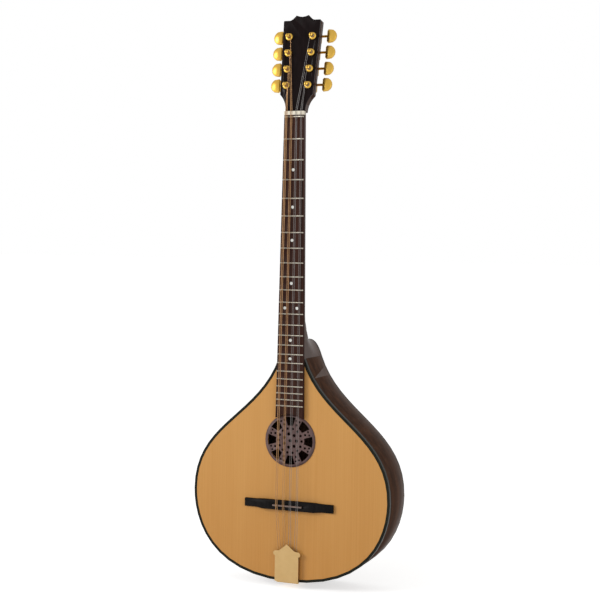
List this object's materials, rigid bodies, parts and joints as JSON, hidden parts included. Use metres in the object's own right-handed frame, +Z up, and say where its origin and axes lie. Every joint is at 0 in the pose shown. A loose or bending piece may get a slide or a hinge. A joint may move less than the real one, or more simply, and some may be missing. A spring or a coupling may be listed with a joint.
{
  "type": "irish bouzouki",
  "caption": "Long-necked flat-backed lute with a teardrop body, paired strings, worm-geared tuners, a floating bridge and a tailpiece with a sliding cover.",
  "frame": {"origin": "middle of the zero fret, level with the face of the fingerboard, where the neck lies in a wall hanger", "axes": "+Z up the neck towards the head, +Y from the strings towards the back, +X to the right as the strings are seen"},
  "size_m": [0.3548, 0.0994, 0.9693],
  "materials": {
    "spruce": "satin varnish",
    "walnut": "satin varnish",
    "pale_wood": "bare",
    "rosewood": "oiled",
    "ebony": "polished",
    "black_binding": "satin varnish",
    "rose_wood": "satin",
    "bone": "polished",
    "gold": "polished plating",
    "pale_brass": "polished plating",
    "wound_wire": "wound bronze",
    "plain_wire": "drawn"
  },
  "bodies": {
    "instrument": {"soundboard": "spruce", "back_plate": "walnut", "side_left": "walnut", "side_right": "walnut", "neck": "walnut", "neck_block": "pale_wood", "tail_block": "pale_wood", "brace_upper": "pale_wood", "brace_lower": "pale_wood", "fingerboard": "rosewood", "bridge": "ebony", "headplate": "ebony", "end_pin": "ebony", "top_binding": "black_binding", "back_binding": "black_binding", "rose": "rose_wood", "nut": "bone", "saddle": "bone", "tuner_case_1": "gold", "tuner_bushing_1": "gold", "tuner_case_2": "gold", "tuner_bushing_2": "gold", "tuner_case_3": "gold", "tuner_bushing_3": "gold", "tuner_case_4": "gold", "tuner_bushing_4": "gold", "tuner_case_5": "gold", "tuner_bushing_5": "gold", "tuner_case_6": "gold", "tuner_bushing_6": "gold", "tuner_case_7": "gold", "tuner_bushing_7": "gold", "tuner_case_8": "gold", "tuner_bushing_8": "gold", "tailpiece_base": "pale_brass", "string_1": "wound_wire", "string_2": "wound_wire", "string_3": "wound_wire", "string_4": "wound_wire", "string_5": "plain_wire", "string_6": "plain_wire", "string_7": "plain_wire", "string_8": "plain_wire"},
    "key_1": {"tuner_key_1": "gold"},
    "post_1": {"tuner_post_1": "gold"},
    "key_2": {"tuner_key_2": "gold"},
    "post_2": {"tuner_post_2": "gold"},
    "key_3": {"tuner_key_3": "gold"},
    "post_3": {"tuner_post_3": "gold"},
    "key_4": {"tuner_key_4": "gold"},
    "post_4": {"tuner_post_4": "gold"},
    "key_5": {"tuner_key_5": "gold"},
    "post_5": {"tuner_post_5": "gold"},
    "key_6": {"tuner_key_6": "gold"},
    "post_6": {"tuner_post_6": "gold"},
    "key_7": {"tuner_key_7": "gold"},
    "post_7": {"tuner_post_7": "gold"},
    "key_8": {"tuner_key_8": "gold"},
    "post_8": {"tuner_post_8": "gold"},
    "cover": {"tailpiece_cover": "pale_brass"}
  },
  "joints": [
    {"name": "key_1_turn", "type": "hinge", "parent": "instrument", "child": "key_1", "pos_m": [-0.0194, 0.03193, 0.05575], "axis": [1, 0, 0], "continuous": true},
    {"name": "post_1_turn", "type": "hinge", "parent": "instrument", "child": "post_1", "pos_m": [-0.0194, 0.03096, 0.05023], "axis": [0, -0.9848, 0.1736], "continuous": true},
    {"name": "key_2_turn", "type": "hinge", "parent": "instrument", "child": "key_2", "pos_m": [-0.01993, 0.03683, 0.08352], "axis": [1, 0, 0], "continuous": true},
    {"name": "post_2_turn", "type": "hinge", "parent": "instrument", "child": "post_2", "pos_m": [-0.01993, 0.03586, 0.07801], "axis": [0, -0.9848, 0.1736], "continuous": true},
    {"name": "key_3_turn", "type": "hinge", "parent": "instrument", "child": "key_3", "pos_m": [-0.02047, 0.04173, 0.11129], "axis": [1, 0, 0], "continuous": true},
    {"name": "post_3_turn", "type": "hinge", "parent": "instrument", "child": "post_3", "pos_m": [-0.02047, 0.04076, 0.10578], "axis": [0, -0.9848, 0.1736], "continuous": true},
    {"name": "key_4_turn", "type": "hinge", "parent": "instrument", "child": "key_4", "pos_m": [-0.021, 0.04663, 0.13906], "axis": [1, 0, 0], "continuous": true},
    {"name": "post_4_turn", "type": "hinge", "parent": "instrument", "child": "post_4", "pos_m": [-0.021, 0.04565, 0.13355], "axis": [0, -0.9848, 0.1736], "continuous": true},
    {"name": "key_5_turn", "type": "hinge", "parent": "instrument", "child": "key_5", "pos_m": [0.021, 0.04663, 0.13906], "axis": [1, 0, 0], "continuous": true},
    {"name": "post_5_turn", "type": "hinge", "parent": "instrument", "child": "post_5", "pos_m": [0.021, 0.04565, 0.13355], "axis": [0, -0.9848, 0.1736], "continuous": true},
    {"name": "key_6_turn", "type": "hinge", "parent": "instrument", "child": "key_6", "pos_m": [0.02047, 0.04173, 0.11129], "axis": [1, 0, 0], "continuous": true},
    {"name": "post_6_turn", "type": "hinge", "parent": "instrument", "child": "post_6", "pos_m": [0.02047, 0.04076, 0.10578], "axis": [0, -0.9848, 0.1736], "continuous": true},
    {"name": "key_7_turn", "type": "hinge", "parent": "instrument", "child": "key_7", "pos_m": [0.01993, 0.03683, 0.08352], "axis": [1, 0, 0], "continuous": true},
    {"name": "post_7_turn", "type": "hinge", "parent": "instrument", "child": "post_7", "pos_m": [0.01993, 0.03586, 0.07801], "axis": [0, -0.9848, 0.1736], "continuous": true},
    {"name": "key_8_turn", "type": "hinge", "parent": "instrument", "child": "key_8", "pos_m": [0.0194, 0.03193, 0.05575], "axis": [1, 0, 0], "continuous": true},
    {"name": "post_8_turn", "type": "hinge", "parent": "instrument", "child": "post_8", "pos_m": [0.0194, 0.03096, 0.05023], "axis": [0, -0.9848, 0.1736], "continuous": true},
    {"name": "cover_slide", "type": "slide", "parent": "instrument", "child": "cover", "axis": [0, 0, -1], "range_m": [0, 0.065]}
  ],
  "couplings": [
    {"joint": "post_1_turn", "follows": "key_1_turn", "ratio": -0.066667},
    {"joint": "post_2_turn", "follows": "key_2_turn", "ratio": -0.066667},
    {"joint": "post_3_turn", "follows": "key_3_turn", "ratio": -0.066667},
    {"joint": "post_4_turn", "follows": "key_4_turn", "ratio": -0.066667},
    {"joint": "post_5_turn", "follows": "key_5_turn", "ratio": 0.066667},
    {"joint": "post_6_turn", "follows": "key_6_turn", "ratio": 0.066667},
    {"joint": "post_7_turn", "follows": "key_7_turn", "ratio": 0.066667},
    {"joint": "post_8_turn", "follows": "key_8_turn", "ratio": 0.066667}
  ]
}
